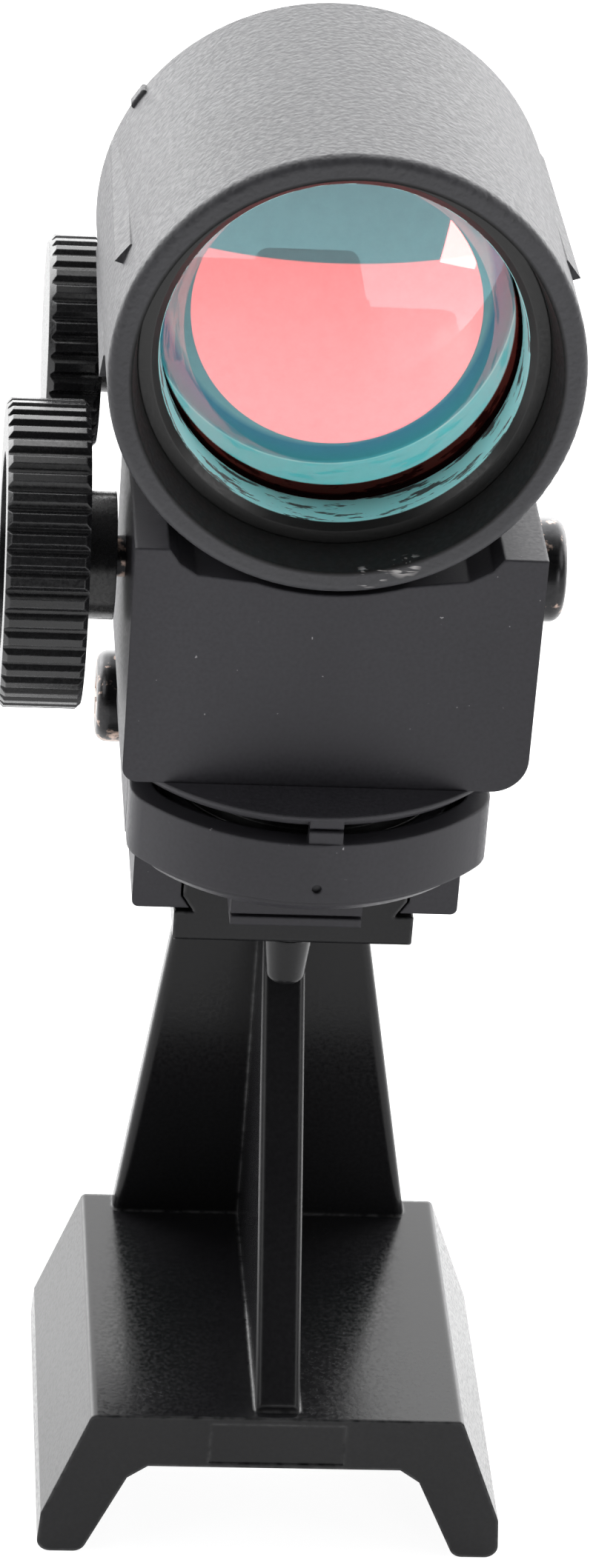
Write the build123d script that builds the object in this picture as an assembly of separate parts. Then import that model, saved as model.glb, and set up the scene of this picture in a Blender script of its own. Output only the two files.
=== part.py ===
from build123d import *
import math
import os

os.makedirs("parts", exist_ok=True)

# Red dot finder on its finder-shoe bracket. Millimetres, +Z up.
# X is across the sight, -Y is the hood (front) end, the foot stands on z = 0.

# ---------------------------------------------------------------- driving dimensions
RUN = 0.06
# everything above the web is drawn from its own datum, which stands this far up
HEAD_LIFT = 3.25

# foot and bracket
FOOT_LEN = 29.0
FOOT_H = 12.5
FOOT_TOP_HALF = 13.75
FOOT_TIP_HALF = 17.4
FOOT_PLATE_T = 4.5
WEB_T = 2.2
WEB_BASE_HALF = 11.6
WEB_TOP_HALF = 6.65
WEB_TOP_X = -0.8
RIB_T = 3.3
RAIL_Y0 = 3.0
RAIL_Y1 = 31.5
RAIL_PLATE_HALF = 8.85
RAIL_PLATE_Z0 = 39.7
RAIL_PLATE_Z1 = 42.2
RAIL_NECK_HALF = 7.35
RAIL_HEAD_HALF = 8.25
RAIL_FLARE_Z = 43.6
RAIL_TOP_Z = 44.6

# lower housing with the rail clamp and the battery bay
CASE_R = 15.7
CASE_FRONT_Y = -9.5
CASE_HALF = 12.95
CASE_CORNER_R = 3.5
CASE_Z0 = 49.2
CASE_FLOOR_Z = 50.4
CASE_LID_Z = 56.7
CASE_TOP_Z = 57.7
LID_LIP_T = 0.35
LID_STEP = 0.8
BODY_HALF = 12.0
BASE_BACK_Y = 38.0
JAW_Z0 = 42.6
CLAMP_Y = 25.0
CLAMP_Z = 48.1
CLAMP_R = 1.5
DRAWER_SPLIT_Y = 0.8
DRAWER_WALL_T = 1.6
DRAWER_Z0 = 50.7
DRAWER_TOP_Z = 55.5
CELL_R = 10.0
CELL_T = 3.2
CELL_Y = 3.6
CELL_Z = 51.8
CAN_H = 2.5
BAY_HALF = 11.4
BAY_BACK_Y = 15.0
TRAY_HALF = 11.15
TRAY_T = 1.0
JAW_BACK_Y = 35.0
KEEL_X0 = -5.3
KEEL_X1 = 4.2
KEEL_Z0 = 45.5
PASSAGE_HALF = 4.4
PASSAGE_Y0 = 14.9
PASSAGE_Y1 = 21.5
TAB_X0 = -0.6
TAB_X1 = 1.8
SCREW_SHANK_R = 0.75
SCREW_HEAD_R = 1.7
SCREW_HEAD_Z = 3.9
PIN_HEAD_ROUND = 0.9
NUT_ACROSS = 5.5
CLAMP_HEAD_R = 3.5
CLAMP_HEAD_X0 = -14.3
CLAMP_NUT_X0 = 9.45
CLAMP_NUT_X1 = 11.85

SADDLE_SCREWS = ((-10.0, 19.5), (10.0, 19.5), (-9.9, 34.8), (9.9, 34.8))

# saddle block
BLOCK_X0 = -13.75
BLOCK_X1 = 15.0
BLOCK_Y0 = -5.05
BLOCK_TOP_Z = 76.2
BLOCK_REAR_TOP_Z = 64.8
BLOCK_STEP_Y = 18.0
DECK_Z = 62.6
CRADLE_R = 17.2
CRADLE_Z = 90.2
# the cradle's rear half is this much deeper, so that the tail can dip
CRADLE_RELIEF = 0.35
CRADLE_RELIEF_Y = 6.0
# shelf beside the cradle, from its left shoulder to its right one
CRADLE_SHELF = ((-11.5, 77.5), (-11.35, 76.2), (-10.6, 75.1), (-9.4, 74.3), (-4.6, 73.75),
                (4.6, 73.75), (9.6, 74.4), (11.2, 75.3), (11.9, 76.2), (12.0, 77.5))

# adjusters
AZ_Y = 7.0
AZ_Z = 69.4
AZ_SHAFT_R = 1.5
AZ_KNOB_R = 11.05
AZ_KNOB_X0 = -22.5
AZ_KNOB_X1 = -16.65
AZ_HUB_R = 4.6
AZ_RIDGES = 46
AZ_NUT_R = 2.7
ALT_Y = 32.5
ALT_WHEEL_R = 7.5
ALT_WHEEL_Z0 = 50.9
ALT_WHEEL_Z1 = 54.3
ALT_RIDGES = 32
ALT_NUT_Z0 = 70.0
ALT_NUT_Z1 = 72.4
ALT_SCREW_Z0 = 47.4
ALT_SCREW_Z1 = 73.6
AZ_HEAD_R = 3.75

# sight tube and its tail
TUBE_Z = 89.7
TUBE_R = 16.35
RIM_Y = -5.55
TUBE_BACK_Y = 22.3
HOOD_R = 14.65
BORE_R = 14.2
SEAT_R = 13.5
LENS_R = 13.35
LENS_T = 2.6
LENS_Y = -0.67
LENS_CURVE_R = 34.0
LENS_TILT = 1.0
STOP_R = 12.5
SEAT_Y0 = 0.3
STOP_Y0 = 6.3
STOP_Y1 = 7.6
RING_Y0 = -2.0
RING_BACK_Y = 1.4
RING_BORE_R = 12.75
RIB_Y0 = 0.4
RIB_RISE = 0.55
RIB_SINK = 1.0
RIB_ANGLES = (18.0, -12.0)
TAIL_HALF = 12.0
TAIL_Y0 = 18.9
TAIL_Y1 = 36.5
TAIL_Z0 = 66.4
TAIL_TOP_Z = 76.2
TAIL_WALL = 1.4
TAIL_CAVITY_HALF = 10.4
TAIL_CAVITY_Y0 = 24.2
REAR_BORE_R = 13.9
LAMP_HALF = 3.9
LAMP_Z = 80.3
LAMP_TOP_Z = 83.2
LAMP_CEILING_Z = 81.9
COVER_SCREW_X = 8.6
COVER_SCREW_Z = 71.3
COVER_T = 1.2
SPINDLE_R = 1.5
POWER_Y = 25.8
POWER_Z = 77.3
POWER_KNOB_R = 7.9
POWER_KNOB_X0 = -19.45
POWER_KNOB_X1 = -15.5
POWER_RIDGES = 34


# ---------------------------------------------------------------- helpers
def slab(x0, x1, y0, y1, z0, z1):
    middle = Pos((x0 + x1) / 2, (y0 + y1) / 2, (z0 + z1) / 2)
    return middle * Box(x1 - x0, y1 - y0, z1 - z0)


def rod_x(y, z, r, x0, x1):
    return Pos((x0 + x1) / 2, y, z) * Rot(0, 90, 0) * Cylinder(r, x1 - x0)


def rod_y(x, z, r, y0, y1):
    return Pos(x, (y0 + y1) / 2, z) * Rot(90, 0, 0) * Cylinder(r, y1 - y0)


def rod_z(x, y, r, z0, z1):
    return Pos(x, y, (z0 + z1) / 2) * Cylinder(r, z1 - z0)


def prism_x(points, x0, x1):
    outline = Polyline([(x0, y, z) for y, z in points], close=True)
    return extrude(make_face(outline), amount=x1 - x0, dir=(1, 0, 0))


def prism_y(points, y0, y1):
    outline = Polyline([(x, y0, z) for x, z in points], close=True)
    return extrude(make_face(outline), amount=y1 - y0, dir=(0, 1, 0))


def prism_z(points, z0, z1):
    outline = Polyline([(x, y, z0) for x, y in points], close=True)
    return extrude(make_face(outline), amount=z1 - z0, dir=(0, 0, 1))


def hex_z(x, y, across, z0, z1):
    corner = across / math.sqrt(3)
    ring = [(x + corner * math.cos(math.radians(60 * k)),
             y + corner * math.sin(math.radians(60 * k))) for k in range(6)]
    return prism_z(ring, z0, z1)


def hex_x(y, z, across, x0, x1):
    corner = across / math.sqrt(3)
    ring = [(y + corner * math.cos(math.radians(60 * k)),
             z + corner * math.sin(math.radians(60 * k))) for k in range(6)]
    return prism_x(ring, x0, x1)


def ridged_wheel(r_root, r_tip, count, height):
    # a wheel about Z standing on z = 0, with straight flat-topped ridges
    pitch = 2 * math.pi / count
    ring = []
    for k in range(count):
        for step, radius in ((0.0, r_root), (0.22, r_tip), (0.62, r_tip), (0.84, r_root)):
            angle = (k + step) * pitch
            ring.append((radius * math.cos(angle), radius * math.sin(angle)))
    return prism_z(ring, 0, height)


def along_x(shape, x, y, z):
    # lays a shape built about +Z along +X with its base at x
    return Pos(x, y, z) * Rot(0, 90, 0) * shape


def near(shape, axis, low, high):
    return shape.edges().filter_by_position(axis, low, high)


def save(name, shape):
    shape.label = name
    export_step(shape, "parts/" + name + ".step")


def save_head(name, *solids):
    # a node of the sight, set on the bracket; loose solids share one node
    raised = [Pos(0, 0, HEAD_LIFT) * solid for solid in solids]
    save(name, raised[0] if len(raised) == 1 else Compound(children=raised))


def coil(radius, wire, pitch, height):
    path = Helix(pitch=pitch, height=height, radius=radius)
    start = Plane(path @ 0, z_dir=path % 0)
    return sweep(start * Circle(wire), path=path)


# ---------------------------------------------------------------- bracket
def make_bracket():
    inner_top = FOOT_H - FOOT_PLATE_T
    section = [(-FOOT_TOP_HALF, FOOT_H), (FOOT_TOP_HALF, FOOT_H),
               (17.15, 3.4), (FOOT_TIP_HALF, 0.0), (14.0, 0.0),
               (10.9, 6.9), (9.4, inner_top),
               (-9.4, inner_top), (-10.9, 6.9),
               (-14.0, 0.0), (-FOOT_TIP_HALF, 0.0), (-17.15, 3.4)]
    half = FOOT_LEN / 2
    foot = prism_y(section, -half, half)
    long_edges = foot.edges().filter_by(Axis.Y)
    tips = long_edges.filter_by_position(Axis.Z, -0.1, 0.1)
    foot = fillet(tips, 1.0)
    crown = foot.edges().filter_by(Axis.Y).filter_by_position(Axis.Z, FOOT_H - 0.1, FOOT_H + 0.1)
    foot = fillet(crown, 0.5)
    web_y0 = half - WEB_T
    plate_z = RAIL_PLATE_Z0 + HEAD_LIFT
    web = prism_y([(-WEB_BASE_HALF, FOOT_H - 1), (WEB_BASE_HALF, FOOT_H - 1),
                   (WEB_TOP_X + WEB_TOP_HALF, plate_z + 0.5),
                   (WEB_TOP_X - WEB_TOP_HALF, plate_z + 0.5)],
                  web_y0, half)
    side_edges = web.edges().filter_by(lambda e: abs((e % 0.5).Z) > 0.9)
    web = fillet(side_edges, 0.7)
    front_rib = prism_x([(-half + 0.9, FOOT_H - 1), (web_y0 + 0.8, FOOT_H - 1),
                         (web_y0 + 0.8, plate_z + 0.5), (web_y0 - 0.6, plate_z + 0.5),
                         (-half + 0.9, FOOT_H + 0.6)], -RIB_T / 2, RIB_T / 2)
    nose_edges = front_rib.edges().filter_by(lambda e: (e % 0.5).Y * (e % 0.5).Z > 0.2)
    front_rib = fillet(nose_edges, 0.6)
    rear_rib = prism_x([(half - 0.8, FOOT_H + 5), (half - 0.8, plate_z + 0.5),
                        (RAIL_Y1 - 3, plate_z + 0.5)], -RIB_T / 2, RIB_T / 2)
    plate = slab(-RAIL_PLATE_HALF, RAIL_PLATE_HALF, RAIL_Y0, RAIL_Y1, RAIL_PLATE_Z0, RAIL_PLATE_Z1)
    plate = fillet(near(plate, Axis.Z, RAIL_PLATE_Z0 - 0.1, RAIL_PLATE_Z0 + 0.1), 0.4)
    dovetail = prism_y([(-RAIL_NECK_HALF, RAIL_PLATE_Z1 - 0.4), (RAIL_NECK_HALF, RAIL_PLATE_Z1 - 0.4),
                        (RAIL_NECK_HALF, RAIL_PLATE_Z1), (RAIL_HEAD_HALF, RAIL_FLARE_Z),
                        (RAIL_HEAD_HALF, RAIL_TOP_Z), (-RAIL_HEAD_HALF, RAIL_TOP_Z),
                        (-RAIL_HEAD_HALF, RAIL_FLARE_Z), (-RAIL_NECK_HALF, RAIL_PLATE_Z1)],
                       RAIL_Y0, RAIL_Y1)
    boss = Pos(-0.15, RAIL_Y0 + 1.9, RAIL_PLATE_Z0 - 2.0) * Rot(180, 0, 0) * Cone(1.85, 1.4, 4.1)
    boss = fillet(near(boss, Axis.Z, RAIL_PLATE_Z0 - 4.15, RAIL_PLATE_Z0 - 3.95), 0.6)
    gate = slab(-4.9, 5.1, -half - 0.5, -half + 0.12, inner_top + 0.35, FOOT_H - 0.6)
    head = Pos(0, 0, HEAD_LIFT) * (plate + dovetail + boss)
    return foot + web + front_rib + rear_rib + head - gate


# ---------------------------------------------------------------- lower housing
def case_outline(inset, z0, z1):
    # round-fronted plan of the battery bay, pulled in by inset
    half = CASE_HALF - inset
    radius = CASE_R - inset
    box = slab(-half, half, CASE_FRONT_Y - 1, CASE_FRONT_Y + 30, z0, z1)
    disc = rod_z(0, CASE_FRONT_Y + CASE_R, radius, z0, z1)
    tail = slab(-half, half, CASE_FRONT_Y + CASE_R, CASE_FRONT_Y + 30, z0, z1)
    shape = (box & disc) + tail
    corners = shape.edges().filter_by(Axis.Z).filter_by_position(Axis.Y, -9.0, 5.0)
    return fillet(corners, CASE_CORNER_R)


def make_base_housing():
    lip_z = CASE_TOP_Z - LID_LIP_T
    lid = case_outline(0.1, lip_z, CASE_TOP_Z) + case_outline(LID_STEP, CASE_LID_Z, lip_z + 0.1)
    floor = case_outline(1.0, CASE_Z0, CASE_FLOOR_Z)
    floor = chamfer(near(floor, Axis.Z, CASE_Z0 - 0.05, CASE_Z0 + 0.05), 0.7)
    walls = case_outline(0.0, CASE_FLOOR_Z - 0.2, lip_z + 0.1)
    walls = walls - slab(-20, 20, CASE_FRONT_Y - 1, DRAWER_SPLIT_Y, CASE_Z0, CASE_TOP_Z)
    bay = slab(-BAY_HALF, BAY_HALF, CASE_FRONT_Y - 1, BAY_BACK_Y, CASE_FLOOR_Z, CASE_LID_Z)
    rear = slab(-BODY_HALF, BODY_HALF, 14.0, BASE_BACK_Y, CASE_Z0 - 1.5, CASE_TOP_Z)
    rear_corners = rear.edges().filter_by(Axis.Z).filter_by_position(Axis.Y, BASE_BACK_Y - 1, BASE_BACK_Y + 1)
    rear = fillet(rear_corners, 2.0)
    clamp = slab(-BODY_HALF, BODY_HALF, RAIL_Y0, JAW_BACK_Y, JAW_Z0, CASE_Z0 + 0.5)
    clamp = fillet(clamp.edges().filter_by(Axis.Y).filter_by_position(Axis.Z, 42, 43), 0.5)
    gap = 0.12
    neck = RAIL_NECK_HALF + 0.2
    head = RAIL_HEAD_HALF + 0.2
    channel = prism_y([(-neck, JAW_Z0 - 1), (neck, JAW_Z0 - 1), (neck, RAIL_PLATE_Z1),
                       (head, RAIL_FLARE_Z), (head, RAIL_TOP_Z + gap),
                       (-head, RAIL_TOP_Z + gap), (-head, RAIL_FLARE_Z),
                       (-neck, RAIL_PLATE_Z1)], RAIL_Y0 - 1, BASE_BACK_Y + 1)
    slit = slab(-0.6, 0.6, RAIL_Y0 - 1, JAW_BACK_Y + 1, RAIL_TOP_Z - 0.1, CASE_Z0 - 0.8)
    keel = slab(KEEL_X0, KEEL_X1, -4.0, RAIL_Y0 + 1, KEEL_Z0, CASE_Z0 + 0.5)
    keel_line = slab(KEEL_X0 - 1, KEEL_X1 + 1, -4.5, -3.6, KEEL_Z0 + 0.7, KEEL_Z0 + 0.95)
    shape = (walls - bay) + lid + floor + rear + clamp + keel
    shape = shape - keel_line - channel - slit - bay
    # clamp screw hole, nut pocket and head recess
    shape = shape - rod_x(CLAMP_Y, CLAMP_Z, CLAMP_R + 0.1, -13, 13)
    shape = shape - hex_x(CLAMP_Y, CLAMP_Z, NUT_ACROSS + 0.1, CLAMP_NUT_X0 - 0.05, 13)
    # slot for the altitude wheel and its screw bore
    slot = rod_z(0, ALT_Y, ALT_WHEEL_R + 0.5, ALT_WHEEL_Z0 - 0.35, ALT_WHEEL_Z1 + 0.35)
    slot = slot + slab(-8.0, 8.0, ALT_Y, BASE_BACK_Y + 1, ALT_WHEEL_Z0 - 0.35, ALT_WHEEL_Z1 + 0.35)
    shape = shape - slot
    shape = shape - rod_z(0, ALT_Y, AZ_SHAFT_R + RUN, 46.5, 60)
    # wire and contact passage from the bay up into the saddle
    shape = shape - slab(-PASSAGE_HALF, PASSAGE_HALF, PASSAGE_Y0, PASSAGE_Y1, 52.6, CASE_TOP_Z + 1)
    shape = shape - slab(-PASSAGE_HALF, PASSAGE_HALF, PASSAGE_Y0 - 0.9, PASSAGE_Y0 + 1.3, 55.0, CASE_LID_Z)
    # moulding pockets each side of the rear
    for side in (-1, 1):
        shape = shape - slab(side * 6.4 - 1.3, side * 6.4 + 1.3, 16.5, 22.5, 50.4, CASE_TOP_Z + 1)
        shape = shape - slab(side * 9.7 - 1.1, side * 9.7 + 1.1, 22.8, 31.6, 50.6, CASE_TOP_Z + 1)
    # bridge nub under the lid edge that the drawer tab snaps to
    nub = slab(TAB_X0, TAB_X1, CASE_FRONT_Y + 0.25, CASE_FRONT_Y + 1.6, CASE_LID_Z, lip_z + 0.1)
    shape = shape + nub
    for x, y in SADDLE_SCREWS:
        shape = shape - rod_z(x, y, 0.95, CASE_Z0 + 4.0, CASE_TOP_Z + 1)
        shape = shape - rod_z(x, y, 1.9, 47.0, CASE_Z0 + 4.0)
    return shape


def make_saddle_block():
    back = BASE_BACK_Y
    low = slab(BLOCK_X0, BLOCK_X1, BLOCK_Y0, BLOCK_STEP_Y, CASE_TOP_Z, BLOCK_TOP_Z)
    right_foot = low.edges().filter_by(Axis.Y).filter_by_position(Axis.Z, 57.6, 57.8)
    right_foot = right_foot.filter_by_position(Axis.X, BLOCK_X1 - 0.1, BLOCK_X1 + 0.1)
    low = fillet(right_foot, 2.6)
    left_foot = low.edges().filter_by(Axis.Y).filter_by_position(Axis.Z, 57.6, 57.8)
    left_foot = left_foot.filter_by_position(Axis.X, BLOCK_X0 - 0.1, BLOCK_X0 + 0.1)
    low = fillet(left_foot, 1.1)
    rear = slab(-BODY_HALF - 0.6, BODY_HALF + 0.6, BLOCK_STEP_Y - 1, back, CASE_TOP_Z, BLOCK_REAR_TOP_Z)
    rear = fillet(rear.edges().filter_by(Axis.Z).filter_by_position(Axis.Y, back - 1, back + 1), 2.2)
    shape = low + rear
    shape = shape - rod_y(0, CRADLE_Z, CRADLE_R, BLOCK_Y0 - 1, BLOCK_STEP_Y + 1)
    shape = shape - rod_y(0, CRADLE_Z - CRADLE_RELIEF, CRADLE_R, CRADLE_RELIEF_Y, BLOCK_STEP_Y + 1)
    shape = shape - prism_y(CRADLE_SHELF, BLOCK_Y0 - 1, BLOCK_STEP_Y + 1)
    # room for the tube lug and the azimuth spring
    shape = shape - slab(-4.9, 4.9, 1.2, 12.8, 63.6, CRADLE_Z)
    # hollow from below, leaving walls and a deck
    for side in (-1, 1):
        shape = shape - slab(side * 8.9 - 2.3, side * 8.9 + 2.3, -2.4, 15.6, CASE_TOP_Z - 1, 65.6)
    shape = shape - slab(-8.2, 8.2, 20.6, 28.4, CASE_TOP_Z - 1, DECK_Z)
    shape = shape - slab(-PASSAGE_HALF, PASSAGE_HALF, PASSAGE_Y0 - 0.5, PASSAGE_Y1 - 0.5,
                         CASE_TOP_Z - 1, DECK_Z)
    shape = shape - slab(-3.4, 3.4, 23.2, 28.4, 60.0, BLOCK_REAR_TOP_Z + 1)
    # azimuth screw bores, hub recess and spring chamber
    shape = shape - rod_x(AZ_Y, AZ_Z, AZ_SHAFT_R + RUN, BLOCK_X0 - 1, BLOCK_X1 + 1)
    shape = shape - rod_x(AZ_Y, AZ_Z, 3.0, 4.0, 11.4)
    # altitude screw bore and spring seat
    shape = shape - rod_z(0, ALT_Y, AZ_SHAFT_R + RUN, CASE_TOP_Z - 1, BLOCK_REAR_TOP_Z + 1)
    shape = shape - rod_z(0, ALT_Y, 3.5, 61.6, BLOCK_REAR_TOP_Z + 1)
    for x, y in SADDLE_SCREWS:
        shape = shape - rod_z(x, y, SCREW_SHANK_R, CASE_TOP_Z - 1, 61.2)
    return shape


def make_saddle_screws():
    group = []
    for x, y in SADDLE_SCREWS:
        shank = rod_z(x, y, SCREW_SHANK_R, CASE_Z0 + SCREW_HEAD_Z, 61.0)
        head = rod_z(x, y, SCREW_HEAD_R, CASE_Z0 + 2.6, CASE_Z0 + 4.0)
        cross = slab(x - 1.0, x + 1.0, y - 0.2, y + 0.2, CASE_Z0 + 2.5, CASE_Z0 + 3.2)
        cross = cross + slab(x - 0.2, x + 0.2, y - 1.0, y + 1.0, CASE_Z0 + 2.5, CASE_Z0 + 3.2)
        group.append(shank + head - cross)
    return group


# ---------------------------------------------------------------- battery drawer
def make_battery_drawer():
    outer = case_outline(0.0, DRAWER_Z0, DRAWER_TOP_Z)
    inner = case_outline(DRAWER_WALL_T, DRAWER_Z0 - 1, DRAWER_TOP_Z + 1)
    wall = outer - inner
    wall = wall - slab(-20, 20, DRAWER_SPLIT_Y - 0.25, 40, DRAWER_Z0 - 1, DRAWER_TOP_Z + 1)
    plan = case_outline(DRAWER_WALL_T - 0.3, DRAWER_Z0, DRAWER_Z0 + TRAY_T)
    plan = plan & slab(-TRAY_HALF, TRAY_HALF, -20, CELL_Y + CELL_R + 1.0, DRAWER_Z0, DRAWER_Z0 + TRAY_T)
    cup = rod_z(0, CELL_Y, CELL_R + 1.1, DRAWER_Z0, 54.2)
    cup = cup & slab(-TRAY_HALF, TRAY_HALF, -20, CELL_Y + CELL_R + 1.0, DRAWER_Z0, 55)
    shape = wall + plan + cup
    shape = shape - rod_z(0, CELL_Y, CELL_R + 0.15, CELL_Z - 0.05, 60)
    # finger opening under the cell so that it can be pushed out, and the contact gate
    shape = shape - rod_z(0, CELL_Y, 4.2, DRAWER_Z0 - 1, CELL_Z + 0.5)
    shape = shape - slab(-4.3, 4.3, CELL_Y + 6, 20, CELL_Z, 55)
    tab = slab(TAB_X0, TAB_X1, CASE_FRONT_Y + 0.12, CASE_FRONT_Y + 1.4,
               DRAWER_TOP_Z - 0.3, CASE_LID_Z - 0.2)
    dimple = rod_y(0.2, 51.9, 0.35, CASE_FRONT_Y - 0.5, CASE_FRONT_Y + 0.3)
    return shape + tab - dimple


def make_coin_cell():
    can = rod_z(0, CELL_Y, CELL_R, CELL_Z, CELL_Z + CAN_H)
    cap = rod_z(0, CELL_Y, CELL_R - 1.1, CELL_Z + CAN_H - 0.1, CELL_Z + CELL_T)
    can = fillet(near(can, Axis.Z, CELL_Z - 0.05, CELL_Z + 0.05), 0.4)
    cap = fillet(near(cap, Axis.Z, CELL_Z + CELL_T - 0.05, CELL_Z + CELL_T + 0.05), 0.3)
    return can + cap


def make_contact_top():
    # leaf above the cell, its tail rising through the passage
    lid = CASE_LID_Z
    return prism_x([(4.0, lid - 0.75), (4.6, lid - 1.05), (9.0, lid - 0.4), (16.35, lid - 0.4),
                    (16.35, lid + 2.6), (16.0, lid + 2.6), (16.0, lid - 0.05), (9.0, lid - 0.05),
                    (4.6, lid - 0.7), (4.0, lid - 0.4)], -3.9, -1.3)


def make_contact_side():
    # strip that presses on the can from the rear
    leaf = prism_z([(1.2, 14.05), (3.6, 14.05), (3.6, 15.0), (3.6, 16.35), (1.2, 16.35), (1.2, 16.0),
                    (3.25, 16.0), (3.25, 14.4), (1.2, 14.4)], 52.9, 54.6)
    tail = slab(1.2, 3.6, 16.0, 16.35, 54.4, CASE_LID_Z + 2.6)
    return leaf + tail


# ---------------------------------------------------------------- clamp
def make_clamp_screw():
    shaft = rod_x(CLAMP_Y, CLAMP_Z, CLAMP_R, CLAMP_HEAD_X0 + 1.3, CLAMP_NUT_X1 + 0.05)
    head = rod_x(CLAMP_Y, CLAMP_Z, CLAMP_HEAD_R, CLAMP_HEAD_X0, -BODY_HALF - 0.05)
    head = fillet(near(head, Axis.X, CLAMP_HEAD_X0 - 0.1, CLAMP_HEAD_X0 + 0.1), PIN_HEAD_ROUND)
    half, arm = 0.35, 1.8
    slot_back = CLAMP_HEAD_X0 + 1.0
    flat = slab(-15, slot_back, CLAMP_Y - arm, CLAMP_Y + arm, CLAMP_Z - half, CLAMP_Z + half)
    upright = slab(-15, slot_back, CLAMP_Y - half, CLAMP_Y + half, CLAMP_Z - arm, CLAMP_Z + arm)
    return shaft + head - flat - upright


def make_clamp_nut():
    nut = hex_x(CLAMP_Y, CLAMP_Z, NUT_ACROSS, CLAMP_NUT_X0, CLAMP_NUT_X1)
    return nut - rod_x(CLAMP_Y, CLAMP_Z, CLAMP_R + RUN, 9, 12)


# ---------------------------------------------------------------- azimuth adjuster
def make_azimuth_knob():
    width = AZ_KNOB_X1 - AZ_KNOB_X0
    wheel = ridged_wheel(AZ_KNOB_R - 0.38, AZ_KNOB_R, AZ_RIDGES, width)
    envelope = Pos(0, 0, width / 2) * Cylinder(AZ_KNOB_R, width)
    envelope = chamfer(envelope.edges(), 0.35)
    wheel = wheel & envelope
    hub = Pos(0, 0, width + 1.0) * Cylinder(AZ_HUB_R, 2.3)
    dish = Pos(0, 0, 0.2) * Cylinder(7.2, 1.2)
    bore = Pos(0, 0, 5) * Cylinder(AZ_SHAFT_R, 14)
    return along_x(wheel + hub - dish - bore, AZ_KNOB_X0, AZ_Y, AZ_Z)


def make_azimuth_screw():
    shaft = rod_x(AZ_Y, AZ_Z, AZ_SHAFT_R, -21.4, BLOCK_X1 + 0.8)
    head = rod_x(AZ_Y, AZ_Z, AZ_HEAD_R, BLOCK_X1 + 0.25, BLOCK_X1 + 2.75)
    head = fillet(near(head, Axis.X, BLOCK_X1 + 2.7, BLOCK_X1 + 2.8), PIN_HEAD_ROUND)
    slot = slab(BLOCK_X1 + 1.7, BLOCK_X1 + 3, AZ_Y - 0.45, AZ_Y + 0.45, AZ_Z - 2.6, AZ_Z + 2.6)
    return shaft + head - slot


def make_azimuth_nut():
    barrel = rod_x(AZ_Y, AZ_Z, AZ_NUT_R, -3.3, 3.3)
    collar = rod_x(AZ_Y, AZ_Z, 3.9, -3.55, -3.2) + rod_x(AZ_Y, AZ_Z, 3.9, 3.2, 3.55)
    return barrel + collar - rod_x(AZ_Y, AZ_Z, AZ_SHAFT_R + 0.1, -4, 4)


def make_azimuth_spring():
    spring = coil(2.35, 0.3, 1.35, 6.4)
    return along_x(spring, 4.75, AZ_Y, AZ_Z)


# ---------------------------------------------------------------- altitude adjuster
def make_altitude_wheel():
    height = ALT_WHEEL_Z1 - ALT_WHEEL_Z0
    wheel = ridged_wheel(ALT_WHEEL_R - 0.4, ALT_WHEEL_R, ALT_RIDGES, height)
    envelope = Pos(0, 0, height / 2) * Cylinder(ALT_WHEEL_R, height)
    envelope = chamfer(envelope.edges(), 0.3)
    bore = Pos(0, 0, height / 2) * Cylinder(AZ_SHAFT_R, height + 2)
    return Pos(0, ALT_Y, ALT_WHEEL_Z0) * ((wheel & envelope) - bore)


def make_altitude_screw():
    shaft = rod_z(0, ALT_Y, AZ_SHAFT_R, ALT_SCREW_Z0, ALT_SCREW_Z1)
    return chamfer(near(shaft, Axis.Z, ALT_SCREW_Z1 - 0.1, ALT_SCREW_Z1 + 0.1), 0.4)


def make_altitude_nut():
    nut = hex_z(0, ALT_Y, NUT_ACROSS, ALT_NUT_Z0, ALT_NUT_Z1)
    return nut - rod_z(0, ALT_Y, AZ_SHAFT_R + 0.12, ALT_NUT_Z0 - 1, ALT_NUT_Z1 + 1)


def make_altitude_spring():
    spring = coil(2.7, 0.3, 1.25, 4.1)
    return Pos(0, ALT_Y, 61.95) * spring


# ---------------------------------------------------------------- sight body
def grip_rib(angle):
    # wedge rib along the flank, with its crest at that angle, sinking into the tube towards the rear
    length = TUBE_BACK_Y - 0.8 - RIB_Y0
    width = 1.9
    section = prism_y([(-0.6, 0.35), (RIB_RISE, 0.35), (0.0, width), (-0.6, width)], 0, length)
    sunk = Pos(TUBE_R, RIB_Y0, 0) * Rot(0, 0, RIB_SINK) * section
    return Pos(0, 0, TUBE_Z) * Rot(0, -angle, 0) * sunk


def rear_lug(angle):
    # small catch on the rear edge of the tube
    shape = slab(TUBE_R - 0.8, TUBE_R + 0.3, TUBE_BACK_Y - 1.2, TUBE_BACK_Y, -0.8, 0.8)
    shape = fillet(shape.edges().filter_by_position(Axis.X, TUBE_R + 0.2, TUBE_R + 0.4), 0.25)
    return Pos(0, 0, TUBE_Z) * Rot(0, -angle, 0) * shape


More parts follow.
